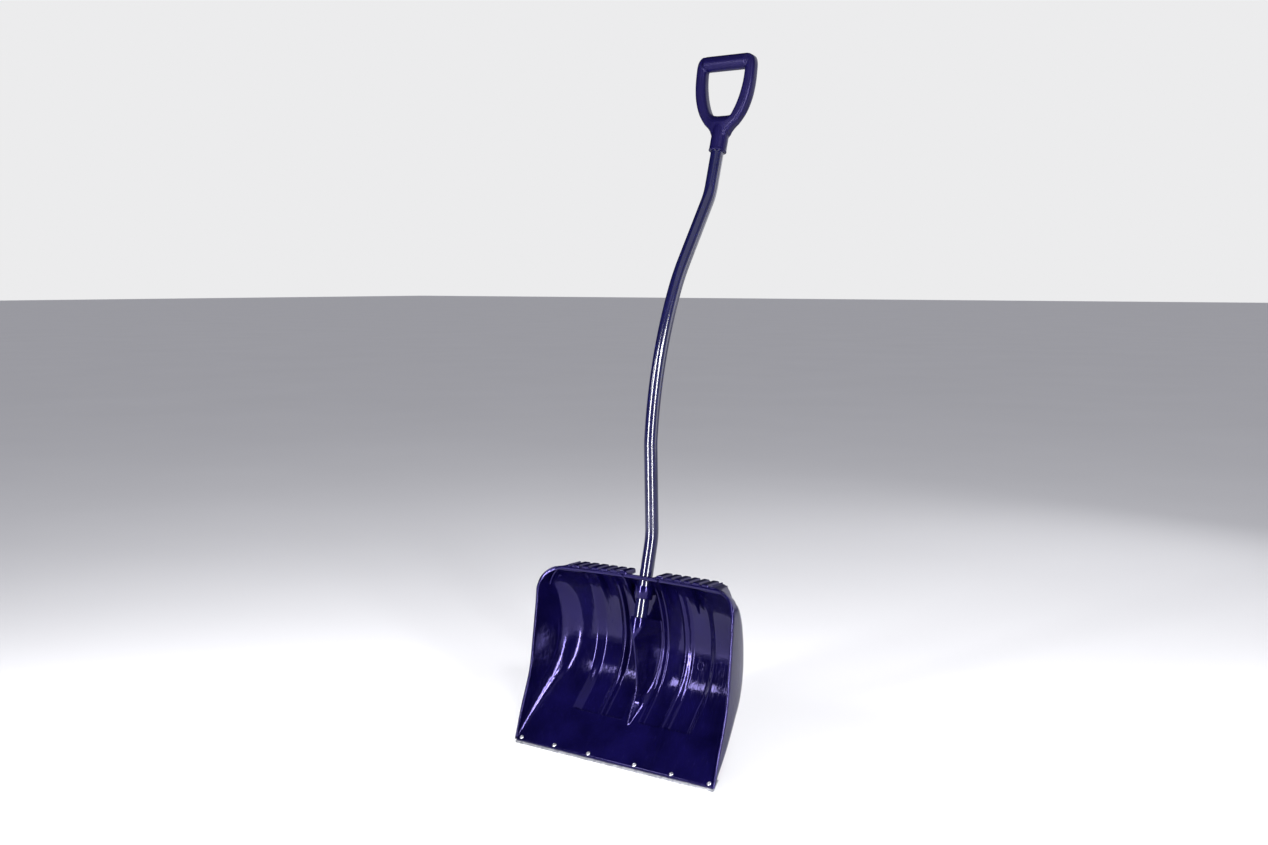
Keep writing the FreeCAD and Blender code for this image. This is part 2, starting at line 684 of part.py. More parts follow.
def make_grip():
    lean = size("grip_lean")
    tilt = FreeCAD.Rotation(V(1, 0, 0), 90.0 - lean)
    ring = doc.addObject("PartDesign::Body", "GripRing")
    for name, kind, edges in (("Outside", "PartDesign::Pad", d_outline()),
                              ("Opening", "PartDesign::Pocket", d_opening())):
        sketch = ring.newObject("Sketcher::SketchObject", "Grip" + name)
        sketch.AttachmentSupport = [(origin_plane(ring, "XY_Plane"), "")]
        sketch.MapMode = "FlatFace"
        sketch.addGeometry(edges, False)
        feature = ring.newObject(kind, "Grip" + name + "Solid")
        feature.Profile = sketch
        feature.Midplane = True
        if kind.endswith("Pad"):
            bound(feature, Length="Sizes.grip_depth")
        else:
            feature.Type = "ThroughAll"
        doc.recompute()
    depth = size("grip_depth") / 2
    rims = ["Edge%d" % i for i, edge in enumerate(ring.Shape.Edges, start=1)
            if all(abs(abs(v.Z) - depth) < 0.01 for v in edge.Vertexes)
            and any(v.Y > 0 for v in edge.Vertexes)]
    square_edged = ring.Tip
    rounding = ring.newObject("PartDesign::Fillet", "GripRounding")
    rounding.Base = (square_edged, rims)
    bound(rounding, Radius="Sizes.grip_round")
    ring.Placement = FreeCAD.Placement(GRIP_NECK, tilt)

    bar = rod("GripBar", in_grip(-size("grip_bar_half"), size("grip_base_rise")
                                 + size("grip_bar_rise")), V(1, 0, 0),
              Radius="Sizes.grip_bar_radius", Height="2 * Sizes.grip_bar_half")
    ferrule_foot = TUBE_TOP - TUBE_TOP_WAY * size("ferrule_run")
    ferrule = rod("Ferrule", ferrule_foot, TUBE_TOP_WAY, Radius="Sizes.ferrule_radius",
                  Height="Sizes.ferrule_run + Sizes.ferrule_cap")
    drills = [
        rod("FerruleBore", ferrule_foot - TUBE_TOP_WAY * 5, TUBE_TOP_WAY,
            Radius="Sizes.tube_radius + Sizes.bore_clearance", Height="Sizes.ferrule_run + 5"),
        screw_hole("GripScrewHole", GRIP_SCREW_AT, TUBE_TOP_WAY),
        screw_seat("GripScrewSeat", GRIP_SCREW_AT, TUBE_TOP_WAY, "ferrule_radius"),
    ]
    finish(cut("Grip", fused("GripSolid", [ring, bar, ferrule]), fused("GripDrills", drills)),
           "d_grip")


def make_screw(name, label, at, way, radius):
    """Pan head screw whose head sits in the seat behind the tube."""
    back = square_back(way)
    under = at + back * (size(radius) - 0.6)
    head = rod(name + "Head", under, back, Radius="Sizes.screw_head_radius",
               Height="Sizes.screw_head_high")
    domed = doc.addObject("Part::Fillet", name + "Domed")
    domed.Base = head
    doc.recompute()
    rim = [i for i, edge in enumerate(head.Shape.Edges, start=1)
           if edge.Closed and (edge.CenterOfMass - under).Length > size("screw_head_high") / 2]
    domed.Edges = [(rim[0], 1.2, 1.2)]
    shank = rod(name + "Shank", under, back * -1, Radius="Sizes.screw_radius",
                Height="Sizes.screw_length")
    finish(fused(name, [domed, shank]), label)


def screw_seat(name, at, way, radius):
    """Flat spot for a screw head on the back of a round socket."""
    back = square_back(way)
    return rod(name, at + back * (size(radius) - 0.6), back,
               Radius="Sizes.screw_head_radius + 0.5", Height="20")


print("tube ends at %.1f back, %.1f high" % (TUBE_TOP.y, TUBE_TOP.z))
make_scoop()
make_strip()
make_rivets()
make_tube()
make_grip()
make_screw("SocketScrew", "socket_screw", SOCKET_SCREW_AT, TUBE_FOOT_WAY, "socket_radius")
make_screw("GripScrew", "grip_screw", GRIP_SCREW_AT, TUBE_TOP_WAY, "ferrule_radius")
doc.recompute()

# ---------------------------------------------------------------- check and export

for obj in doc.Objects:
    if "Invalid" in obj.State or "Error" in obj.State:
        raise RuntimeError("failed: %s %s" % (obj.Name, obj.State))

os.makedirs("parts", exist_ok=True)
boxes = []
for piece in PIECES:
    shape = piece.Shape
    if shape.isNull() or not shape.isValid() or not shape.Solids:
        raise RuntimeError("bad shape: " + piece.Label)
    boxes.append(shape.optimalBoundingBox(False))
    print("%-22s solids %d volume %.0f" % (piece.Label, len(shape.Solids), shape.Volume))
    shape.exportStep("parts/%s.step" % piece.Label)
print("front %.2f back %.2f" % (min(b.YMin for b in boxes), max(b.YMax for b in boxes)))
print("foot %.2f top %.2f" % (min(b.ZMin for b in boxes), max(b.ZMax for b in boxes)))
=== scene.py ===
"""Looks of a snow shovel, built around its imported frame.

Shapes are worked out in millimetres from the wear strip's front edge: x across, y back, z up.
finish_piece() turns a finished shape into the frame's metres.
"""

import math

import bmesh
import bpy
from mathutils import Matrix, Vector


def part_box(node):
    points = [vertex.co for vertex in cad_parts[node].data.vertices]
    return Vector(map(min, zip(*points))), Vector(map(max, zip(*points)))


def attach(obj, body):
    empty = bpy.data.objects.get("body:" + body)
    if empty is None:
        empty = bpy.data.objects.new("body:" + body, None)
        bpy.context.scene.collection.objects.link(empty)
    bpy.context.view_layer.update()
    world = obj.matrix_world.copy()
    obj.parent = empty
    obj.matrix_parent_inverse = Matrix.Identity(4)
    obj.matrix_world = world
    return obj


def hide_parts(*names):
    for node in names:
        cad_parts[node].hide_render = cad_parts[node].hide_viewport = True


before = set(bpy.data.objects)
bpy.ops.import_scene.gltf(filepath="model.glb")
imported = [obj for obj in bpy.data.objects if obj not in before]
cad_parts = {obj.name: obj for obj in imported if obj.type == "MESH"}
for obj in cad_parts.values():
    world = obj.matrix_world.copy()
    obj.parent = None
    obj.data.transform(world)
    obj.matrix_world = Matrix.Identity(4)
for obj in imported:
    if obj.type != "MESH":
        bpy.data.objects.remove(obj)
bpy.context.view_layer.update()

bl_info = {
    "name": "Snow Shovel Looks",
    "version": (1, 0, 0),
    "blender": (4, 5, 0),
    "location": "View3D > Sidebar > Shovel",
    "description": "Moulded scoop, wear strip, rivets, tube and grip of a snow shovel",
    "category": "Object",
}

# ---------------------------------------------------------------- places

SLOPE = math.radians(44.5)          # floor panel against the ground
STRIP_THICK = 1.5
STRIP_HALF = 226.5
STRIP_DEEP = 24.0
FACE_LIFT = 5.0                     # scoop's face above the strip's underside
FLOOR_RUN = 147.3                   # flat floor panel, along its slope
BACK_BENDS = ((141.9, math.radians(45.5)), (206.0, math.radians(17.0)))
TOE_RUN = 4.5                       # scoop's lower edge behind the strip's edge
LIP_TOP = 337.0
CORNER_FOOT = 287.0                 # height where the rounded top corners begin
CORNER_RADIUS = 50.0
HALF_WIDTH = 228.0
BULGE_AT = 15.0                     # side walls are widest this far back
BULGE_SPREAD = 708.0
FRONT_LINE = ((6.7, -0.4), (60.0, 16.5), (133.0, 42.0), (200.0, 52.5), (262.0, 60.5),
              (296.0, 64.0), (318.0, 71.5), (337.0, 81.0))
TUBE_FOOT = Vector((0.0, 89.8, 233.0))
FOOT_LEAN = math.radians(14.4)
FOOT_WAY = Vector((0.0, math.sin(FOOT_LEAN), math.cos(FOOT_LEAN)))
GRIP_LEAN = math.radians(9.75)
FERRULE_LEAN = math.radians(17.0)
FERRULE_WAY = Vector((0.0, math.sin(FERRULE_LEAN), math.cos(FERRULE_LEAN)))
RIVET_RUN = 12.0
RIVET_PLACES = (-214.5, -134.0, -52.8, 52.8, 134.0, 214.5)
WELD = 0.002

STRIP_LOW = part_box("wear_strip")[0]
EDGE = Vector((0.0, STRIP_LOW.y + STRIP_THICK * math.sin(SLOPE) / 1000, STRIP_LOW.z))


def smooth(low, high, value):
    """0 below low, 1 above high, and an even rise between."""
    t = min(1.0, max(0.0, (value - low) / (high - low)))
    return t * t * (3 - 2 * t)


def through(knots, at):
    """Smooth curve through (place, value) knots, flat outside them."""
    if at <= knots[0][0]:
        return knots[0][1]
    if at >= knots[-1][0]:
        return knots[-1][1]
    i = max(k for k in range(len(knots) - 1) if knots[k][0] <= at)
    (a, va), (b, vb) = knots[i], knots[i + 1]
    before, after = knots[max(i - 1, 0)], knots[min(i + 2, len(knots) - 1)]
    rise_a = (vb - before[1]) / (b - before[0])
    rise_b = (after[1] - va) / (after[0] - a)
    t, run = (at - a) / (b - a), b - a
    return ((2 * t ** 3 - 3 * t ** 2 + 1) * va + (t ** 3 - 2 * t ** 2 + t) * run * rise_a
            + (3 * t ** 2 - 2 * t ** 3) * vb + (t ** 3 - t ** 2) * run * rise_b)


def on_floor(run, lift):
    """(y, z) on the floor panel's slope, lifted square to it."""
    return (run * math.cos(SLOPE) - lift * math.sin(SLOPE),
            run * math.sin(SLOPE) + lift * math.cos(SLOPE))


def along_back(length):
    """(y, z, heading) on the scoop's face, a length up from the strip's edge."""
    y, z = on_floor(min(length, FLOOR_RUN), FACE_LIFT)
    heading, left = SLOPE, length - FLOOR_RUN
    for radius, turn in BACK_BENDS:
        swing = min(max(left, 0.0) / radius, turn)
        y += radius * (math.sin(heading + swing) - math.sin(heading))
        z += radius * (math.cos(heading) - math.cos(heading + swing))
        heading += swing
        left -= radius * swing
    return y, z, heading


BACK_LENGTH = FLOOR_RUN + sum(radius * turn for radius, turn in BACK_BENDS)
CURL_LENGTH = 80.0


def lip_front(x):
    """Front of the lip, which bows back towards its ends."""
    return 97.0 - 17.0 * min(1.0, (abs(x) / 200.0) ** 2)


def face_line(length, x):
    """(y, z, heading) of the scoop's face, with the curl under the bowed lip."""
    if length <= BACK_LENGTH:
        return along_back(length)
    y, z, heading = along_back(BACK_LENGTH)
    end = (lip_front(x) + 4.0, LIP_TOP - 9.0)
    last = math.radians(152.0)
    t = min(1.0, (length - BACK_LENGTH) / CURL_LENGTH)
    pulls = ((y, z), (y + 27 * math.cos(heading), z + 27 * math.sin(heading)),
             (end[0] - 19 * math.cos(last), end[1] - 19 * math.sin(last)), end)
    weights = ((1 - t) ** 3, 3 * t * (1 - t) ** 2, 3 * t * t * (1 - t), t ** 3)
    spot = [sum(w * p[k] for w, p in zip(weights, pulls)) for k in (0, 1)]
    return spot[0], spot[1], heading + (last - heading) * smooth(0, 1, t)


def channel(x, length):
    """How far the pressed channels lie behind the face: two on each side of the keel."""
    across = abs(x)
    inner = smooth(19, 25.5, across) * (1 - smooth(62, 69.5, across))
    outer = smooth(71, 84, across) * (1 - smooth(119, 139, across))
    fade = smooth(92.5, 99.0, length) * (1 - 0.35 * smooth(BACK_LENGTH, BACK_LENGTH + 75, length))
    return (inner + outer) * fade


def side_wall(y, z, wall):
    """Half width of the side wall's surface, a wall thickness in from the outside."""
    bulge = (y - BULGE_AT) ** 2 / BULGE_SPREAD
    radius = CORNER_RADIUS - wall
    rise = min(max(z - CORNER_FOOT, 0.0), radius)
    corner = radius - math.sqrt(radius ** 2 - rise ** 2)
    return HALF_WIDTH - wall - math.hypot(bulge, corner)


def bow_of_face(z):
    """Distance back of the face at a height, up to the top of its bends."""
    if z < along_back(FLOOR_RUN)[1]:
        return (z - on_floor(0, FACE_LIFT)[1]) / math.tan(SLOPE) + on_floor(0, FACE_LIFT)[0]
    low, high = FLOOR_RUN, BACK_LENGTH
    for _ in range(24):
        middle = (low + high) / 2
        low, high = (middle, high) if along_back(middle)[1] < z else (low, middle)
    return along_back(low)[0]


# ---------------------------------------------------------------- shaping

def skin(bm, around, along, point, closed=True):
    """Sheet of around by along cells laid through point(u, v), where u and v run 0 to 1."""
    grid = bmesh.ops.create_grid(bm, x_segments=around, y_segments=along, size=0.5)["verts"]
    for vert in grid:
        vert.co = Vector(point(vert.co.x + 0.5, vert.co.y + 0.5))
    if closed:
        bmesh.ops.remove_doubles(bm, verts=grid, dist=WELD)
        bmesh.ops.holes_fill(bm, edges=[e for e in bm.edges if e.is_boundary], sides=0)


def turned(bm, outline, start, way, steps=64):
    """Solid turned from an outline of (radius, distance along the axis)."""
    across = way.orthogonal().normalized()
    verts = [bm.verts.new(start + across * r + way * d) for r, d in outline]
    edges = [bm.edges.new(pair) for pair in zip(verts, verts[1:])]
    if outline[0] != outline[-1] and outline[0][0] > 0:
        edges.append(bm.edges.new((verts[-1], verts[0])))
    bmesh.ops.spin(bm, geom=verts + edges, cent=start, axis=way, dvec=(0, 0, 0),
                   angle=math.tau, steps=steps, use_merge=True, use_duplicate=False)
    bmesh.ops.remove_doubles(bm, verts=bm.verts[:], dist=WELD)


def round_box(u, width, height, radius):
    """Point on a rounded rectangle about the middle, u from 0 to 1 round it."""
    radius = min(radius, width / 2 - 0.01, height / 2 - 0.01)
    arc = radius * math.pi / 2
    sides = (width - 2 * radius, height - 2 * radius)
    left = (u % 1.0) * (2 * sum(sides) + 4 * arc)
    x, y, heading = -sides[0] / 2, -height / 2, 0.0
    for leg in range(4):
        step = min(left, sides[leg % 2])
        x, y = x + step * math.cos(heading), y + step * math.sin(heading)
        left -= step
        swing = min(left, arc) / radius
        x += radius * (math.sin(heading + swing) - math.sin(heading))
        y += radius * (math.cos(heading) - math.cos(heading + swing))
        heading += swing
        left -= swing * radius
        if left <= 1e-9:
            break
    return x, y


def finish_piece(name, bm, material, nodes, crease=35.0, remesh=0.0):
    """Turns a shape into a finished piece that rides on the shovel's body."""
    bmesh.ops.recalc_face_normals(bm, faces=bm.faces[:])
    bmesh.ops.scale(bm, vec=(0.001,) * 3, verts=bm.verts[:])
    bmesh.ops.translate(bm, vec=EDGE, verts=bm.verts[:])
    mesh = bpy.data.meshes.new(name)
    bm.to_mesh(mesh)
    bm.free()
    mesh.shade_smooth()
    if not remesh:
        mesh.set_sharp_from_angle(angle=math.radians(crease))
    mesh.materials.append(material)
    piece = bpy.data.objects.new(name, mesh)
    bpy.context.scene.collection.objects.link(piece)
    if remesh:
        even = piece.modifiers.new("one_skin", "REMESH")
        even.mode = "VOXEL"
        even.voxel_size = remesh / 1000
        even.use_smooth_shade = True
        ease = piece.modifiers.new("eased", "SMOOTH")
        ease.factor, ease.iterations = 0.5, 7
    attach(piece, "root")
    if nodes:
        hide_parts(*nodes)
    return piece


# ---------------------------------------------------------------- materials

def linear(code):
    """Linear colour from an sRGB hex code."""
    parts = [int(code[i:i + 2], 16) / 255 for i in (1, 3, 5)]
    return tuple(c / 12.92 if c <= 0.04045 else ((c + 0.055) / 1.055) ** 2.4
                 for c in parts) + (1.0,)


def add_node(tree, kind, links=None, **settings):
    """Adds a node; settings are its properties or sockets, links its inputs' sources."""
    node = tree.nodes.new(kind)
    for key, value in settings.items():
        if hasattr(node, key):
            setattr(node, key, value)
        else:
            node.inputs[key.replace("_", " ")].default_value = value
    for key, source in (links or {}).items():
        tree.links.new(source, node.inputs[key])
    return node


def new_material(name, **shader):
    """Material with its shader and Object coordinates: (material, tree, shader, coordinates)."""
    material = bpy.data.materials.new(name)
    material.use_nodes = True
    tree = material.node_tree
    surface = tree.nodes["Principled BSDF"]
    for key, value in shader.items():
        surface.inputs[key.replace("_", " ")].default_value = value
    coords = add_node(tree, "ShaderNodeTexCoord").outputs["Object"]
    return material, tree, surface, coords


def per_mm(length):
    """Texture scale that repeats once in a length in millimetres."""
    return 1000.0 / length


def moulded_navy_polypropylene():
    """Glossy injection-moulded polypropylene: deep navy, with a soft flow ripple that bends
    reflections, and hairline scuffs."""
    hue = bpy.context.scene.shovel_colours
    material, tree, surface, coords = new_material(
        "moulded_navy_polypropylene", Roughness=0.12, IOR=1.49,
        Specular_Tint=linear("#a99df5"))
    flow = add_node(tree, "ShaderNodeTexNoise", {"Vector": coords}, Scale=per_mm(55),
                    Detail=2.0)
    tint = add_node(tree, "ShaderNodeValToRGB", {"Fac": flow.outputs["Fac"]})
    tint.color_ramp.elements[0].position, tint.color_ramp.elements[1].position = 0.3, 0.7
    tint.color_ramp.elements[0].color = hue.scoop_dark
    tint.color_ramp.elements[1].color = hue.scoop_light
    tree.links.new(tint.outputs["Color"], surface.inputs["Base Color"])
    stretch = add_node(tree, "ShaderNodeMapping", {"Vector": coords},
                       Scale=(1.0, 0.06, 0.06), Rotation=(0, 0, 0.2))
    scuffs = add_node(tree, "ShaderNodeTexNoise", {"Vector": stretch.outputs["Vector"]},
                      Scale=per_mm(1.4), Detail=3.0)
    worn = add_node(tree, "ShaderNodeMapRange", {"Value": scuffs.outputs["Fac"]},
                    From_Min=0.52, From_Max=0.8, To_Min=0.1, To_Max=0.34)
    tree.links.new(worn.outputs["Result"], surface.inputs["Roughness"])
    ripple = add_node(tree, "ShaderNodeTexNoise", {"Vector": coords}, Scale=per_mm(9),
                      Detail=1.0)
    bump = add_node(tree, "ShaderNodeBump", {"Height": ripple.outputs["Fac"]}, Strength=0.05,
                    Distance=0.004)
    hair = add_node(tree, "ShaderNodeBump", {"Height": scuffs.outputs["Fac"],
                                             "Normal": bump.outputs["Normal"]},
                    Strength=0.04, Distance=0.0008)
    tree.links.new(hair.outputs["Normal"], surface.inputs["Normal"])
    return material


def satin_moulded_grip():
    """Satin injection-moulded plastic: a fine spark-eroded texture that spreads highlights."""
    hue = bpy.context.scene.shovel_colours
    material, tree, surface, coords = new_material(
        "satin_moulded_grip", Roughness=0.34, IOR=1.46, Specular_IOR_Level=0.3,
        Specular_Tint=linear("#b9b0f0"))
    cloud = add_node(tree, "ShaderNodeTexNoise", {"Vector": coords}, Scale=per_mm(24),
                     Detail=2.0)
    tint = add_node(tree, "ShaderNodeValToRGB", {"Fac": cloud.outputs["Fac"]})
    tint.color_ramp.elements[0].color = hue.grip_dark
    tint.color_ramp.elements[1].color = hue.grip_light
    tree.links.new(tint.outputs["Color"], surface.inputs["Base Color"])
    grain = add_node(tree, "ShaderNodeTexNoise", {"Vector": coords}, Scale=per_mm(0.7),
                     Detail=2.0)
    bump = add_node(tree, "ShaderNodeBump", {"Height": grain.outputs["Fac"]}, Strength=0.16,
                    Distance=0.0004)
    tree.links.new(bump.outputs["Normal"], surface.inputs["Normal"])
    return material


def powder_coated_steel():
    """Navy powder coat baked on steel tube: glossy, with the coat's slight orange peel."""
    hue = bpy.context.scene.shovel_colours
    material, tree, surface, coords = new_material(
        "powder_coated_steel", Roughness=0.2, IOR=1.5, Coat_Weight=0.5, Coat_Roughness=0.08)
    drift = add_node(tree, "ShaderNodeTexNoise", {"Vector": coords}, Scale=per_mm(70))
    tint = add_node(tree, "ShaderNodeValToRGB", {"Fac": drift.outputs["Fac"]})
    tint.color_ramp.elements[0].color = hue.tube_dark
    tint.color_ramp.elements[1].color = hue.tube_light
    tree.links.new(tint.outputs["Color"], surface.inputs["Base Color"])
    peel = add_node(tree, "ShaderNodeTexNoise", {"Vector": coords}, Scale=per_mm(2.6),
                    Detail=1.0)
    bump = add_node(tree, "ShaderNodeBump", {"Height": peel.outputs["Fac"]}, Strength=0.06,
                    Distance=0.0008)
    tree.links.new(bump.outputs["Normal"], surface.inputs["Normal"])
    return material


def galvanised_sheet():
    """Hot-dip galvanised sheet: grey zinc with crystal spangle and a scraped leading edge."""
    hue = bpy.context.scene.shovel_colours
    material, tree, surface, coords = new_material(
        "galvanised_sheet", Metallic=1.0, Roughness=0.42)
    spangle = add_node(tree, "ShaderNodeTexVoronoi", {"Vector": coords}, Scale=per_mm(7))
    shade = add_node(tree, "ShaderNodeValToRGB", {"Fac": spangle.outputs["Color"]})
    shade.color_ramp.elements[0].color = hue.strip_dark
    shade.color_ramp.elements[1].color = hue.strip_light
    tree.links.new(shade.outputs["Color"], surface.inputs["Base Color"])
    stretch = add_node(tree, "ShaderNodeMapping", {"Vector": coords}, Scale=(1.0, 0.05, 0.05))
    scrape = add_node(tree, "ShaderNodeTexNoise", {"Vector": stretch.outputs["Vector"]},
                      Scale=per_mm(1.0), Detail=3.0)
    rough = add_node(tree, "ShaderNodeMapRange", {"Value": scrape.outputs["Fac"]},
                     From_Min=0.3, From_Max=0.7, To_Min=0.3, To_Max=0.55)
    tree.links.new(rough.outputs["Result"], surface.inputs["Roughness"])
    bump = add_node(tree, "ShaderNodeBump", {"Height": scrape.outputs["Fac"]}, Strength=0.1,
                    Distance=0.0005)
    tree.links.new(bump.outputs["Normal"], surface.inputs["Normal"])
    return material


def plain_metal(name, dark, light, roughness, grain):
    """Metal whose shade drifts between two colours over a grain size in millimetres."""
    material, tree, surface, coords = new_material(name, Metallic=1.0, Roughness=roughness)
    patch = add_node(tree, "ShaderNodeTexNoise", {"Vector": coords}, Scale=per_mm(grain),
                     Detail=2.0)
    shade = add_node(tree, "ShaderNodeValToRGB", {"Fac": patch.outputs["Fac"]})
    shade.color_ramp.elements[0].color = linear(dark)
    shade.color_ramp.elements[1].color = linear(light)
    tree.links.new(shade.outputs["Color"], surface.inputs["Base Color"])
    bump = add_node(tree, "ShaderNodeBump", {"Height": patch.outputs["Fac"]}, Strength=0.1,
                    Distance=0.0003)
    tree.links.new(bump.outputs["Normal"], surface.inputs["Normal"])
    return material


def drawn_aluminium():
    """Bright drawn aluminium of a blind rivet: soft white highlights."""
    return plain_metal("drawn_aluminium", "#a2a3a8", "#c6c6cb", 0.3, 1.5)


def snapped_steel():
    """Broken end of a steel mandrel: dull grey and grainy."""
    return plain_metal("snapped_steel", "#55565a", "#85868b", 0.5, 0.8)


def zinc_plated_steel():
    """Zinc-plated screw: cool bright grey."""
    return plain_metal("zinc_plated_steel", "#93979f", "#c3c6cc", 0.28, 1.2)


def pale_studio_paper():
    """Matte seamless paper under the shovel: pale, with a faint cloud in its tone."""
    material, tree, surface, coords = new_material("pale_studio_paper", Roughness=0.9)
    cloud = add_node(tree, "ShaderNodeTexNoise", {"Vector": coords}, Scale=per_mm(900))
    tint = add_node(tree, "ShaderNodeValToRGB", {"Fac": cloud.outputs["Fac"]})
    tint.color_ramp.elements[0].color = linear("#dcdcde")
    tint.color_ramp.elements[1].color = linear("#e2e2e4")
    tree.links.new(tint.outputs["Color"], surface.inputs["Base Color"])
    return material


MATERIALS = {}


def material_of(maker):
    """The material that a maker function makes, made once."""
    if maker.__name__ not in MATERIALS:
        MATERIALS[maker.__name__] = maker()
    return MATERIALS[maker.__name__]


# ---------------------------------------------------------------- scoop

ROWS = ((0.0, TOE_RUN), (0.1, 80.0), (0.17, 92.0), (0.29, 100.0), (0.34, 108.0),
        (0.5, 175.0), (0.78, BACK_LENGTH), (1.0, BACK_LENGTH + CURL_LENGTH))
FRONT_OF_BACK = ((6.7, 6.7), (50.0, 57.0), (106.8, 131.0), (207.0, 210.0), (268.0, 266.0),
                 (328.0, 332.5))
PLAIN_HALF = 150.0                  # the face is plain from here out to the side walls
WALL_FOOT = 190.0
FACE_SHARE, JOIN_SHARE, ROUND_SHARE = 0.7, 0.74, 0.88   # how the half width's cells are shared


def scoop_shell(sizes):
    """Face of the scoop in one sheet: floor panel, back with its channels, curl and walls."""
    wall, deep = sizes.wall * 1000, sizes.channel_depth * 1000

    def point(u, v):
        side, a = (1 if u > 0.5 else -1), abs(2 * u - 1)
        length = through(ROWS, v)
        if a <= FACE_SHARE:
            x = PLAIN_HALF * a / FACE_SHARE
            y, z, heading = face_line(length, x)
            crease = 0.45 * smooth(91.6, 92.6, length) * (1 - smooth(128.0, 149.0, x))
            back = deep * channel(x, length) + crease
            return side * x, y + back * math.sin(heading), z - back * math.cos(heading)
        y, z = face_line(length, WALL_FOOT)[:2]
        front_z = through(FRONT_OF_BACK, z)
        front_y = through(FRONT_LINE, front_z) + 1.5
        gap = Vector((front_y - y, front_z - z))
        reach = max(gap.length, 0.3)
        radius = min(4.0 + 27.5 * min(1.0, length / FLOOR_RUN), 0.85 * reach)
        if a <= ROUND_SHARE:
            angle = math.radians(90) * max(0.0, (a - JOIN_SHARE) / (ROUND_SHARE - JOIN_SHARE))
            ahead, inward = radius * (1 - math.cos(angle)), radius * (1 - math.sin(angle))
        else:
            ahead = radius + (reach - radius) * (a - ROUND_SHARE) / (1 - ROUND_SHARE)
            inward = 0.0
        spot_y, spot_z = y + gap.x * ahead / reach, z + gap.y * ahead / reach
        x = side_wall(spot_y, spot_z, wall) - inward
        if a < JOIN_SHARE:
            x = PLAIN_HALF + (x - PLAIN_HALF) * (a - FACE_SHARE) / (JOIN_SHARE - FACE_SHARE)
            spot_y, spot_z = face_line(length, x)[:2]
        return side * x, spot_y, spot_z

    bm = bmesh.new()
    skin(bm, 232, 150, point, closed=False)
    bmesh.ops.remove_doubles(bm, verts=bm.verts[:], dist=WELD)
    bmesh.ops.dissolve_degenerate(bm, edges=bm.edges[:], dist=WELD)
    middle = min(bm.faces, key=lambda f: (f.calc_center_median()
                                          - Vector((0, 20, 20))).length)
    bmesh.ops.recalc_face_normals(bm, faces=bm.faces[:])
    if middle.normal.y > 0:
        bmesh.ops.reverse_faces(bm, faces=bm.faces[:])
    return bm


RIM_FOOT = 7.5
SIDE_SHARE, CORNER_SHARE = 0.5, 0.68    # how the bead's length is shared


def bead_edge(y):
    """Half width out to the rim bead's outside, a distance back."""
    return HALF_WIDTH + 0.4 - (y - BULGE_AT) ** 2 / BULGE_SPREAD


def rim_bead(sizes):
    """Thickened bead along both side walls' fronts, the top corners and the lip."""
    width_toe, width_side, width_top = 3.5, 5.6, sizes.rim_width * 1000

    def half_path(t):
        """(x, y, z, outward angle) from the toe, t = 0, to the middle of the lip, t = 1."""
        if t < SIDE_SHARE:
            z = RIM_FOOT + (CORNER_FOOT - RIM_FOOT) * t / SIDE_SHARE
            y = through(FRONT_LINE, z)
            return bead_edge(y), y, z, 0.0
        edge = bead_edge(through(FRONT_LINE, CORNER_FOOT))
        if t < CORNER_SHARE:
            part = (t - SIDE_SHARE) / (CORNER_SHARE - SIDE_SHARE)
            turn = math.radians(90) * part
            x = edge - CORNER_RADIUS * (1 - math.cos(turn))
            z = CORNER_FOOT + CORNER_RADIUS * math.sin(turn)
            blend = smooth(0.3, 1.0, part)
            return x, through(FRONT_LINE, z) * (1 - blend) + lip_front(x) * blend, z, turn
        x = (edge - CORNER_RADIUS) * (1 - (t - CORNER_SHARE) / (1 - CORNER_SHARE))
        return x, lip_front(x), LIP_TOP, math.radians(90)

    def point(u, v):
        side, t = (1, 2 * v) if v < 0.5 else (-1, 2 - 2 * v)
        x, y, z, turn = half_path(t)
        low = smooth(0.0, 0.12, t)
        top = smooth(0.5, 0.72, t)
        width = width_toe + (width_side - width_toe) * low + (width_top - width_side) * top
        depth = 2.2 + 4.8 * low - 1.6 * top
        a, b = round_box(u, width, depth, 1.6 + 0.9 * top)
        inward = width / 2 + a
        return (side * (x - inward * math.cos(turn)), y + depth / 2 + b,
                z - inward * math.sin(turn))

    bm = bmesh.new()
    skin(bm, 28, 460, point)
    return bm


# Keel by height: distance back of its crest, half width of its root, radius of the flare
# into the face, and radius of its nose.
KEEL_FOOT, SOCKET_TOP = 60.0, 258.9
CREST = ((60.0, 54.2), (80.0, 62.5), (112.0, 78.6), (142.0, 84.2), (184.0, 80.5),
         (212.0, 75.8), (226.0, 72.6), (240.0, 74.0), (262.0, 79.6))
ROOT_HALF = ((60.0, 2.5), (80.0, 13.0), (100.0, 22.0), (115.0, 21.5), (146.0, 19.8),
             (262.0, 20.0))
FLARE = ((60.0, 2.0), (78.0, 8.0), (96.0, 18.0), (112.0, 16.0), (140.0, 7.0), (262.0, 3.5))
NOSE = ((60.0, 0.8), (80.0, 2.0), (220.0, 2.4), (225.0, 5.0), (235.0, 13.0), (243.0, 16.4),
        (262.0, 16.4))
NOSE_SHARE, SIDE_END, FLARE_END = 0.3, 0.55, 0.88    # how the keel's half girth is shared
COLLAR_FOOT = 292.0
RING_ACROSS, RING_UP = 101.5, 224.0   # moulded ring mark in the right outer channel


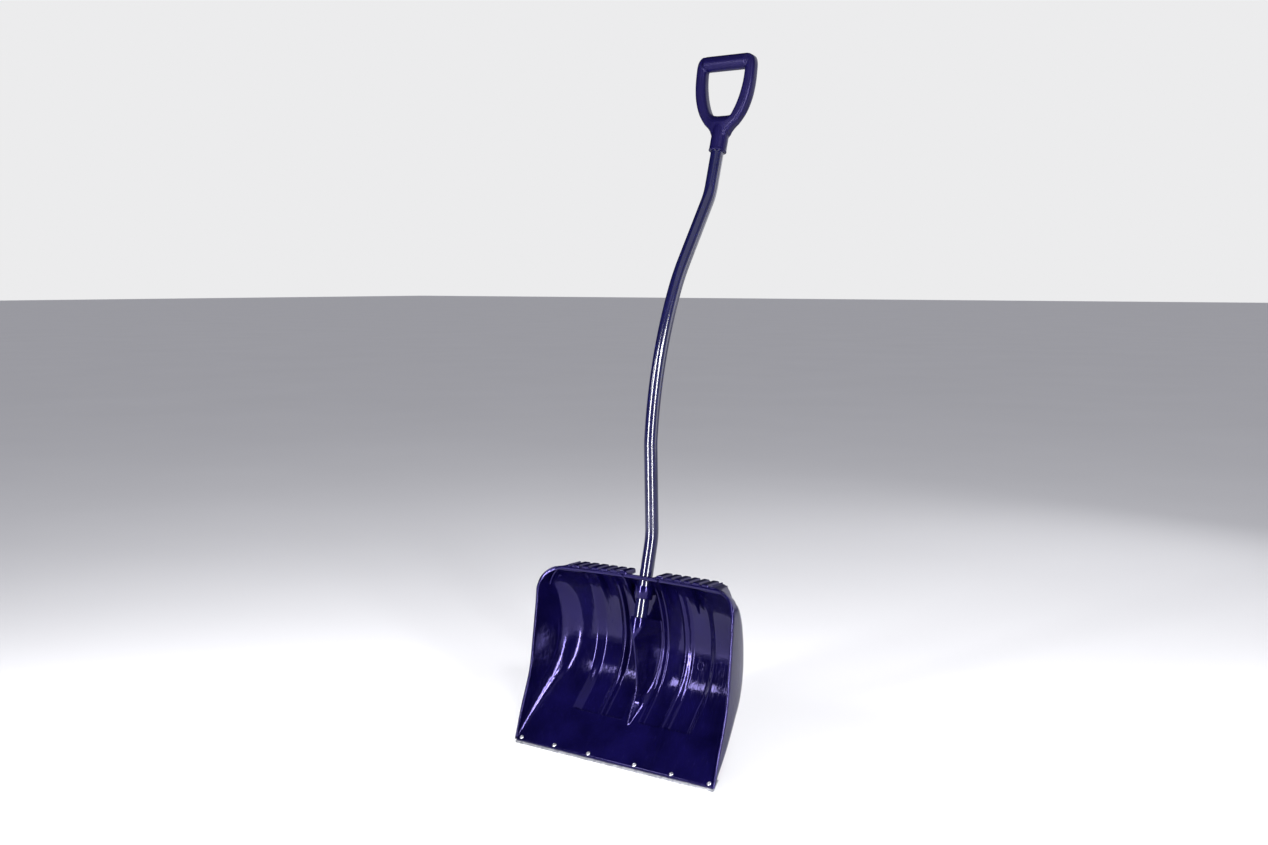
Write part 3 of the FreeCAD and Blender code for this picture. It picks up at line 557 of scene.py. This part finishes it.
def keel_and_socket(sizes):
    """Keel up the middle, opening at its top into the tube's socket, the collar under the
    lip and a small moulded ring mark."""
    def point(u, v):
        level = KEEL_FOOT + (SOCKET_TOP - KEEL_FOOT) * v
        crest, back = through(CREST, level), bow_of_face(level) + 0.4
        deep = max(back - crest, 0.5)
        flare = min(through(FLARE, level), 0.62 * deep)
        nose = min(through(NOSE, level), (deep - flare) / 2)
        root = max(through(ROOT_HALF, level) - flare, nose)
        t = 2 * u - 1
        part = abs(t)
        if part < NOSE_SHARE:
            angle = math.pi / 2 * part / NOSE_SHARE
            run, half = nose * (1 - math.cos(angle)), nose * math.sin(angle)
        elif part < SIDE_END:
            way = (part - NOSE_SHARE) / (SIDE_END - NOSE_SHARE)
            run, half = nose + (deep - flare - nose) * way, nose + (root - nose) * way
        elif part < FLARE_END:
            angle = math.pi / 2 * (part - SIDE_END) / (FLARE_END - SIDE_END)
            run = deep - flare * (1 - math.sin(angle))
            half = root + flare * (1 - math.cos(angle))
        else:
            run, half = deep, (root + flare) * (1 - (part - FLARE_END) / (1 - FLARE_END))
        y = crest + run
        tilt = smooth(0.80, 0.93, v) * math.tan(FOOT_LEAN)
        axis_y = TUBE_FOOT.y + (level - TUBE_FOOT.z) * math.tan(FOOT_LEAN)
        pinch = 1.0 - 0.07 * max(0.0, (v - 0.993) / 0.007)
        return (math.copysign(half, t) * pinch, axis_y + (y - axis_y) * pinch,
                level - (y - axis_y) * tilt)

    bm = bmesh.new()
    skin(bm, 120, 150, point)
    collar_foot = TUBE_FOOT + FOOT_WAY * ((COLLAR_FOOT - TUBE_FOOT.z) / FOOT_WAY.z)
    ring_y, ring_z, heading = along_back(RING_UP)
    behind = sizes.channel_depth * 1000
    spot = Vector((RING_ACROSS, ring_y + behind * math.sin(heading),
                   ring_z - behind * math.cos(heading)))
    turned(bm, ((6.4, -0.6), (6.7, 0.35), (7.2, 0.55), (7.7, 0.35), (8.0, -0.6), (6.4, -0.6)),
           spot, Vector((0.0, -math.sin(heading), math.cos(heading))))
    turned(bm, ((13.1, 1.0), (14.1, 0.0), (16.4, 0.0), (17.5, 1.1), (17.5, 24.0),
                (13.1, 24.0), (13.1, 1.0)), collar_foot, FOOT_WAY)
    return bm


TREADS = 7
TREAD_GAP, TREAD_SLANT, TREAD_END = 6.5, 1.2, 164.0
STEP_NEAR, STEP_FAR = 31.0, 180.0
STEP_UNDER, STEP_TOP = 334.2, 338.5
STEP_BEND = 168.0                       # the skirt turns down from here
SKIRT_TURN = math.radians(74)
FLAT_SHARE = 0.8                        # part of a step's cells that lie before the skirt
DRAW_FROM, DRAW_OVER, DRAW_IN = 148.0, 74.0, 33.0   # how the rear edge comes forward
RIB_PLACES = tuple(STEP_NEAR + 8.0 + 66.0 * rib for rib in range(3))
RIB_THICK = 3.0
RIB_OUTLINE = ((92.0, 336.0), (125.0, 336.0), (131.0, 302.0), (136.0, 272.0),
               (118.0, 300.0), (104.0, 322.0))


def foot_steps(sizes):
    """Two foot steps on top of the lip, with tread blocks, ribs and a skirt at the outer end."""
    rise = sizes.tread_rise * 1000
    pitch = (STEP_FAR - STEP_NEAR) / TREADS

    def tread(x):
        if not STEP_NEAR < x < TREAD_END:
            return 0.0
        in_block = (x - STEP_NEAR) % pitch
        edge = min(in_block, pitch - in_block) - TREAD_GAP / 2
        return rise * min(1.0, max(0.0, edge / TREAD_SLANT))

    bm = bmesh.new()
    for side in (-1, 1):
        def point(u, v):
            along = min(1.0, v / FLAT_SHARE)
            x = STEP_NEAR + (STEP_BEND - STEP_NEAR) * along
            turn = SKIRT_TURN * max(0.0, v - FLAT_SHARE) / (1 - FLAT_SHARE)
            past = max(0.0, x - DRAW_FROM) + CORNER_RADIUS * turn
            drawn_in = DRAW_IN * (1 - math.cos(math.pi / 2 * min(1.0, past / DRAW_OVER)))
            thick = STEP_TOP + tread(x if v < FLAT_SHARE else 0.0) - STEP_UNDER
            lift = STEP_UNDER - CORNER_FOOT + thick / 2
            near_round = 12.0 - math.sqrt(max(144.0 - max(0.0, 43.0 - x) ** 2, 0.0))
            front = lip_front(x) + 1.2
            rear = max(133.5 - 8.0 * (x / STEP_FAR) ** 2 - near_round - drawn_in, front + 3.0)
            a, b = round_box(u, rear - front, thick, 1.4)
            y = (front + rear) / 2 + a
            tuck = ((y - BULGE_AT) ** 2 - 2500.0) / BULGE_SPREAD
            reach = lift + b - 1.5 * math.sin(turn)
            return (side * (x + (reach - max(tuck, 0.0)) * math.sin(turn)), y,
                    CORNER_FOOT + reach * math.cos(turn)
                    - max(tuck, 0.0) * math.sin(turn) ** 2)
        skin(bm, 40, 236, point)
    for side in (-1, 1):
        for at in RIB_PLACES:
            ring = [bm.verts.new((side * at, y, z)) for y, z in RIB_OUTLINE]
            face = bmesh.ops.contextual_create(bm, geom=ring)["faces"]
            lifted = bmesh.ops.extrude_face_region(bm, geom=face, use_keep_orig=True)["geom"]
            bmesh.ops.translate(bm, vec=(side * RIB_THICK, 0, 0),
                                verts=[g for g in lifted if isinstance(g, bmesh.types.BMVert)])
    return bm


# ---------------------------------------------------------------- strip and fastenings

def floor_matrix(x, run, lift):
    """Turns a shape standing on the ground so that it stands on the floor panel."""
    y, z = on_floor(run, lift)
    return Matrix.Translation((x, y, z)) @ Matrix.Rotation(SLOPE, 4, "X")


def wear_strip():
    """Sheet metal strip under the scoop's edge, with rounded corners and broken edges."""
    bm = bmesh.new()
    skin(bm, 228, 16, lambda u, v: (2 * STRIP_HALF * (u - 0.5), STRIP_DEEP * v, 0.0),
         closed=False)
    for vert in bm.verts:
        inset = 3.0 - math.sqrt(max(9.0 - max(0.0, 3.0 - vert.co.y) ** 2, 0.0))
        vert.co.x = math.copysign(min(abs(vert.co.x), STRIP_HALF - inset), vert.co.x)
    made = bmesh.ops.extrude_face_region(bm, geom=bm.faces[:], use_keep_orig=True)["geom"]
    bmesh.ops.translate(bm, vec=(0, 0, STRIP_THICK),
                        verts=[g for g in made if isinstance(g, bmesh.types.BMVert)])
    bmesh.ops.recalc_face_normals(bm, faces=bm.faces[:])
    sharp = [e for e in bm.edges if len(e.link_faces) == 2 and e.calc_face_angle() > 1.2]
    bmesh.ops.bevel(bm, geom=sharp, offset=0.35, affect="EDGES", segments=2, profile=0.5,
                    material=-1, offset_type="OFFSET")
    bmesh.ops.transform(bm, matrix=floor_matrix(0, 0, 0), verts=bm.verts[:])
    return bm


def at_rivets(outline):
    """The same turned shape at each rivet, standing on the scoop's face."""
    bm = bmesh.new()
    for x in RIVET_PLACES:
        y, z = on_floor(RIVET_RUN, FACE_LIFT)
        up = Vector((0, -math.sin(SLOPE), math.cos(SLOPE)))
        turned(bm, outline, Vector((x, y, z)), up, 40)
    return bm


def pan_screw(start, way):
    """Pan head and its shank."""
    bm = bmesh.new()
    turned(bm, ((0.0, 2.35), (1.6, 2.3), (2.9, 1.9), (3.7, 1.1), (3.95, 0.3), (3.95, 0.0),
                (2.0, 0.0), (2.0, -8.5), (1.2, -9.0), (0.0, -9.0)), start, way, 48)
    return bm


# ---------------------------------------------------------------- tube and grip

# Tube from its foot up: (length, lean, lean) of a straight stretch, or (None, lean before,
# lean after, radius) of a bend; leans in degrees backwards.
TUBE_RUNS = ((162.0, 14.4, 14.4), (None, 14.4, -1.5, 120.0), (152.1, -1.5, -1.5),
             (None, -1.5, 5.0, 120.0), (None, 5.0, 26.0, 795.0), (None, 26.0, 34.4, 408.0),
             (139.7, 34.4, 34.4), (None, 34.4, 17.0, 120.0), (105.6, 17.0, 17.0))


TUBE_STEP = 4.0


def tube_stations(step):
    """(y, z, lean) along the tube's centre line, at about even steps."""
    y, z = TUBE_FOOT.y, TUBE_FOOT.z
    stations = [(y, z, math.radians(TUBE_RUNS[0][1]))]
    for run in TUBE_RUNS:
        first, last = math.radians(run[1]), math.radians(run[2])
        length = run[0] or abs(last - first) * run[3]
        count = max(2, round(length / step))
        for i in range(count):
            lean = first + (last - first) * (i + 0.5) / count
            y += length / count * math.sin(lean)
            z += length / count * math.cos(lean)
            stations.append((y, z, first + (last - first) * (i + 1) / count))
    return stations


def handle_tube(sizes):
    radius = sizes.tube_radius * 1000
    stations = tube_stations(TUBE_STEP)

    def point(u, v):
        y, z, lean = stations[round(v * (len(stations) - 1))]
        angle = u * math.tau
        side, ahead = radius * math.cos(angle), radius * math.sin(angle)
        return side, y + ahead * math.cos(lean), z - ahead * math.sin(lean)

    bm = bmesh.new()
    skin(bm, 64, len(stations) - 1, point)
    return bm


def grip_neck():
    """Point on the tube's line where the D begins, just above the tube's end."""
    y, z = tube_stations(TUBE_STEP)[-1][:2]
    return Vector((0, y, z)) + FERRULE_WAY * 4.0


# Edges of the grip's arm as (share of its length, (distance out, distance up)).
ARM_OUTSIDE = ((0.0, (0, -11)), (0.08, (14.5, -9.5)), (0.16, (19, -2)), (0.24, (26.5, 6.5)),
               (0.32, (37, 16)), (0.45, (51.5, 37)), (0.58, (61.5, 64)), (0.7, (66, 92)),
               (0.8, (66.7, 118)), (0.88, (65.7, 135)), (0.94, (61.5, 145)), (1.0, (53, 150.3)))
ARM_INSIDE = ((0.0, (0, 33)), (0.1, (13, 33.3)), (0.2, (24, 36)), (0.32, (31, 47)),
              (0.45, (37.5, 65)), (0.58, (42, 85)), (0.7, (44.2, 102)), (0.8, (44.9, 120)),
              (0.88, (45.2, 135)), (0.94, (45.4, 144)), (1.0, (46, 149.6)))


def d_grip(sizes):
    """D grip: ferrule, arms that bow outwards, and a round cross bar between shoulders."""
    neck = grip_neck()
    up = Vector((0, math.sin(GRIP_LEAN), math.cos(GRIP_LEAN)))
    back = Vector((0, math.cos(GRIP_LEAN), -math.sin(GRIP_LEAN)))

    def point(u, v):
        side, w = (1 if v > 0.5 else -1), abs(2 * v - 1)
        out, inn = ([through([(k, p[axis]) for k, p in knots], w) for axis in (0, 1)]
                    for knots in (ARM_OUTSIDE, ARM_INSIDE))
        width = math.hypot(out[0] - inn[0], out[1] - inn[1])
        depth = 24.0 + 4.0 * (1 - smooth(0.0, 0.3, w)) - 2.0 * smooth(0.9, 1.0, w)
        a, b = round_box(u, width, depth, 8.5)
        part = 0.5 + a / width
        if b < 0:
            b += 8.0 * smooth(0.34, 0.0, part) * smooth(0.3, 0.12, w)
        across = inn[0] + (out[0] - inn[0]) * part
        rise = inn[1] + (out[1] - inn[1]) * part
        return neck + Vector((side * across, 0, 0)) + up * rise + back * b

    bm = bmesh.new()
    skin(bm, 56, 180, point)
    bar = sizes.bar_radius * 1000
    turned(bm, ((0.0, -52.0), (bar - 3, -52.0), (bar, -47.0), (bar, 47.0), (bar - 3, 52.0),
                (0.0, 52.0)), neck + up * 137.4, Vector((1, 0, 0)))
    foot = neck - FERRULE_WAY * 41.0
    turned(bm, ((0.0, 0.0), (17.6, 0.0), (17.9, 0.8), (17.9, 2.4), (17.0, 4.0), (17.0, 36.0),
                (16.6, 46.0), (15.0, 56.0), (0.0, 60.0)), foot, FERRULE_WAY)
    return bm


# ---------------------------------------------------------------- what a user may change

class ShovelSizes(bpy.types.PropertyGroup):
    """Sizes of the finished shovel that can be changed."""
    wall: bpy.props.FloatProperty(name="Wall", description="Thickness of the scoop's wall",
                                  default=0.0035, unit="LENGTH")
    channel_depth: bpy.props.FloatProperty(
        name="Channel Depth", description="Depth of the channels in the back",
        default=0.009, unit="LENGTH")
    rim_width: bpy.props.FloatProperty(
        name="Lip Height", description="Height of the bead along the lip", default=0.0078,
        unit="LENGTH")
    tread_rise: bpy.props.FloatProperty(
        name="Tread Height", description="Height of the tread blocks on the foot steps",
        default=0.003, unit="LENGTH")
    tube_radius: bpy.props.FloatProperty(
        name="Tube Radius", description="Outside radius of the handle tube", default=0.0127,
        unit="LENGTH")
    bar_radius: bpy.props.FloatProperty(
        name="Bar Radius", description="Radius of the grip's cross bar", default=0.0155,
        unit="LENGTH")


def colour(name, description, code):
    """Colour that a user can change, stored linear."""
    return bpy.props.FloatVectorProperty(name=name, description=description, subtype="COLOR",
                                         size=4, min=0.0, max=1.0, default=linear(code))


class ShovelColours(bpy.types.PropertyGroup):
    """Base colours of the coloured materials."""
    scoop_dark: colour("Scoop Dark", "Darker tone of the scoop's plastic", "#03021a")
    scoop_light: colour("Scoop Light", "Lighter tone of the scoop's plastic", "#060426")
    grip_dark: colour("Grip Dark", "Darker tone of the grip's plastic", "#060423")
    grip_light: colour("Grip Light", "Lighter tone of the grip's plastic", "#0a072d")
    tube_dark: colour("Tube Dark", "Darker tone of the tube's coating", "#060622")
    tube_light: colour("Tube Light", "Lighter tone of the tube's coating", "#0a0a30")
    strip_dark: colour("Strip Dark", "Darker grains of the zinc", "#7d7f86")
    strip_light: colour("Strip Light", "Lighter grains of the zinc", "#b3b4ba")


class StudioSettings(bpy.types.PropertyGroup):
    """Light and camera of the stage."""
    lens: bpy.props.FloatProperty(name="Lens", description="Focal length of the camera",
                                  default=40.0, subtype="DISTANCE_CAMERA")
    strip_power: bpy.props.FloatProperty(
        name="Strip Power", description="Power of the two tall soft boxes", default=78.0,
        unit="POWER")
    top_power: bpy.props.FloatProperty(
        name="Top Power", description="Power of the soft box overhead", default=15.0,
        unit="POWER")


class PieceOperator:
    """Shared part of the operators that build pieces."""
    bl_options = {"REGISTER", "UNDO"}

    def execute(self, context):
        self.build(context.scene.shovel_sizes)
        return {"FINISHED"}


class SHOVEL_OT_scoop(PieceOperator, bpy.types.Operator):
    """Build the moulded scoop: shell, rim, keel with socket, and foot steps"""
    bl_idname = "shovel.scoop"
    bl_label = "Scoop"

    def build(self, sizes):
        plastic = material_of(moulded_navy_polypropylene)
        shell = scoop_shell(sizes)
        finish_shell(shell, sizes, plastic)
        finish_piece("scoop_rim", rim_bead(sizes), plastic, ())
        finish_piece("scoop_keel", keel_and_socket(sizes), plastic, (), 50.0)
        finish_piece("scoop_steps", foot_steps(sizes), plastic, (), 28.0)


def finish_shell(bm, sizes, plastic):
    """Gives the scoop's face its wall behind it and makes it the scoop's main piece."""
    bmesh.ops.scale(bm, vec=(0.001,) * 3, verts=bm.verts[:])
    bmesh.ops.translate(bm, vec=EDGE, verts=bm.verts[:])
    mesh = bpy.data.meshes.new("scoop_shell")
    bm.to_mesh(mesh)
    bm.free()
    mesh.shade_smooth()
    mesh.materials.append(plastic)
    piece = bpy.data.objects.new("scoop_shell", mesh)
    bpy.context.scene.collection.objects.link(piece)
    wall = piece.modifiers.new("wall", "SOLIDIFY")
    wall.thickness, wall.offset = sizes.wall, -1.0
    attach(piece, "root")
    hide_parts("blade_scoop")


class SHOVEL_OT_strip(PieceOperator, bpy.types.Operator):
    """Build the galvanised wear strip"""
    bl_idname = "shovel.strip"
    bl_label = "Wear Strip"

    def build(self, sizes):
        finish_piece("strip_sheet", wear_strip(), material_of(galvanised_sheet),
                     ("wear_strip",))


class SHOVEL_OT_fastenings(PieceOperator, bpy.types.Operator):
    """Build the six blind rivets and the two fixing screws"""
    bl_idname = "shovel.fastenings"
    bl_label = "Rivets and Screws"

    def build(self, sizes):
        finish_piece("rivet_rings", at_rivets(
            ((1.15, 0.55), (1.5, 1.05), (2.4, 1.3), (3.4, 1.05), (4.1, 0.45), (4.2, 0.0),
             (3.2, -5.0), (3.2, -7.6), (2.8, -8.0), (1.15, -8.0))),
            material_of(drawn_aluminium), ("strip_rivet_bodies",))
        finish_piece("rivet_mandrels", at_rivets(
            ((0.0, 0.35), (0.7, 0.3), (1.1, 0.05), (1.1, -8.0), (0.0, -8.0))),
            material_of(snapped_steel), ("strip_rivet_mandrels",))
        for node, lean in (("socket_screw", FOOT_LEAN), ("grip_screw", FERRULE_LEAN)):
            low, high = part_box(node)
            middle = (low + high) / 2 - EDGE
            way = Vector((0, math.cos(lean), -math.sin(lean)))
            finish_piece(node + "_head", pan_screw(middle * 1000 + way * 3.3, way),
                         material_of(zinc_plated_steel), (node,))


class SHOVEL_OT_handle(PieceOperator, bpy.types.Operator):
    """Build the bent handle tube"""
    bl_idname = "shovel.handle"
    bl_label = "Handle Tube"

    def build(self, sizes):
        finish_piece("painted_tube", handle_tube(sizes), material_of(powder_coated_steel),
                     ("handle_tube",), 60.0)


class SHOVEL_OT_grip(PieceOperator, bpy.types.Operator):
    """Build the D grip"""
    bl_idname = "shovel.grip"
    bl_label = "D Grip"

    def build(self, sizes):
        finish_piece("grip_moulding", d_grip(sizes), material_of(satin_moulded_grip),
                     ("d_grip",), remesh=1.3)


# ---------------------------------------------------------------- stage

AIM = Vector((0.0, 0.0, 0.62))


def soft_box(name, azimuth, height, distance, width, tall, power, aim=AIM):
    """Area light on a circle round the shovel, azimuth counted from its front to its right."""
    angle = math.radians(azimuth)
    spot = Vector((math.sin(angle) * distance, -math.cos(angle) * distance, height))
    data = bpy.data.lights.new(name, "AREA")
    data.shape, data.size, data.size_y, data.energy = "RECTANGLE", width, tall, power
    light = bpy.data.objects.new(name, data)
    bpy.context.scene.collection.objects.link(light)
    light.location = spot
    light.rotation_euler = (aim - spot).to_track_quat("-Z", "Y").to_euler()


class SHOVEL_OT_stage(bpy.types.Operator):
    """Lay the pale floor, set the soft lights and the camera"""
    bl_idname = "shovel.stage"
    bl_label = "Stage"
    bl_options = {"REGISTER", "UNDO"}

    def execute(self, context):
        studio = context.scene.shovel_studio
        bm = bmesh.new()
        bmesh.ops.create_grid(bm, x_segments=24, y_segments=24, size=60.0)
        mesh = bpy.data.meshes.new("studio_floor")
        bm.to_mesh(mesh)
        bm.free()
        mesh.materials.append(material_of(pale_studio_paper))
        floor = bpy.data.objects.new("studio_floor", mesh)
        context.scene.collection.objects.link(floor)

        soft_box("strip_right", 54, 0.8, 2.0, 0.18, 2.0, studio.strip_power)
        soft_box("strip_left", -14, 0.8, 2.0, 0.22, 2.0, studio.strip_power * 1.2)
        soft_box("left_lamp", -38, 1.4, 2.1, 0.26, 0.3, studio.strip_power * 0.08)
        soft_box("right_lamp", 42, 1.5, 1.8, 0.2, 0.2, studio.strip_power * 0.2)
        soft_box("side_fill", 118, 0.9, 1.8, 0.9, 1.2, studio.top_power * 0.5)
        soft_box("overhead", 37, 3.0, 0.8, 2.6, 2.6, studio.top_power)
        soft_box("back_fill", 165, 1.6, 2.6, 2.4, 2.0, studio.top_power)

        world = bpy.data.worlds.new("studio_air")
        context.scene.world = world
        world.use_nodes = True
        tree = world.node_tree
        way = add_node(tree, "ShaderNodeVectorMath",
                       {0: add_node(tree, "ShaderNodeTexCoord").outputs["Generated"]},
                       operation="DOT_PRODUCT")
        way.inputs[1].default_value = (0.6, 0.8, 0.0)
        behind = add_node(tree, "ShaderNodeMapRange", {"Value": way.outputs["Value"]},
                          From_Min=0.3, From_Max=0.9)
        gloss = add_node(tree, "ShaderNodeMix", {0: behind.outputs["Result"]},
                         data_type="RGBA")
        gloss.inputs[6].default_value = linear("#14151e")
        gloss.inputs[7].default_value = linear("#d8d8e0")
        ray = add_node(tree, "ShaderNodeLightPath")
        lit = add_node(tree, "ShaderNodeMix", {0: ray.outputs["Is Camera Ray"]},
                       data_type="RGBA")
        lit.inputs[6].default_value = linear("#b4b4ba")
        lit.inputs[7].default_value = linear("#ececed")
        air = add_node(tree, "ShaderNodeMix",
                       {0: ray.outputs["Is Glossy Ray"], 6: lit.outputs[2],
                        7: gloss.outputs[2]}, data_type="RGBA")
        tree.links.new(air.outputs[2], tree.nodes["Background"].inputs["Color"])

        camera_data = bpy.data.cameras.new("camera")
        camera_data.lens = studio.lens
        camera = bpy.data.objects.new("camera", camera_data)
        camera.location = (1.5122, -2.19347, 0.8827)
        camera.rotation_euler = (math.pi / 2 - 0.1000, 0.0, 0.6310)
        context.scene.collection.objects.link(camera)
        context.scene.camera = camera
        context.scene.view_settings.view_transform = "Standard"
        return {"FINISHED"}


class SHOVEL_PT_panel(bpy.types.Panel):
    """Sidebar panel that lists the pieces and their sizes"""
    bl_idname = "SHOVEL_PT_panel"
    bl_label = "Snow Shovel"
    bl_space_type = "VIEW_3D"
    bl_region_type = "UI"
    bl_category = "Shovel"

    def draw(self, context):
        scene = context.scene
        for group in (scene.shovel_sizes, scene.shovel_colours, scene.shovel_studio):
            for name in group.__annotations__:
                self.layout.prop(group, name)
        for piece in BUILDERS:
            self.layout.operator(piece.bl_idname)


GROUPS = (ShovelSizes, ShovelColours, StudioSettings)
BUILDERS = (SHOVEL_OT_scoop, SHOVEL_OT_strip, SHOVEL_OT_fastenings, SHOVEL_OT_handle,
            SHOVEL_OT_grip, SHOVEL_OT_stage)


def register():
    for kind in GROUPS + BUILDERS + (SHOVEL_PT_panel,):
        bpy.utils.register_class(kind)
    bpy.types.Scene.shovel_sizes = bpy.props.PointerProperty(type=ShovelSizes)
    bpy.types.Scene.shovel_colours = bpy.props.PointerProperty(type=ShovelColours)
    bpy.types.Scene.shovel_studio = bpy.props.PointerProperty(type=StudioSettings)


def unregister():
    del bpy.types.Scene.shovel_studio
    del bpy.types.Scene.shovel_colours
    del bpy.types.Scene.shovel_sizes
    for kind in reversed(GROUPS + BUILDERS + (SHOVEL_PT_panel,)):
        bpy.utils.unregister_class(kind)


def main():
    register()
    bpy.ops.shovel.scoop()
    bpy.ops.shovel.strip()
    bpy.ops.shovel.fastenings()
    bpy.ops.shovel.handle()
    bpy.ops.shovel.grip()
    bpy.ops.shovel.stage()


if __name__ == "__main__":
    main()
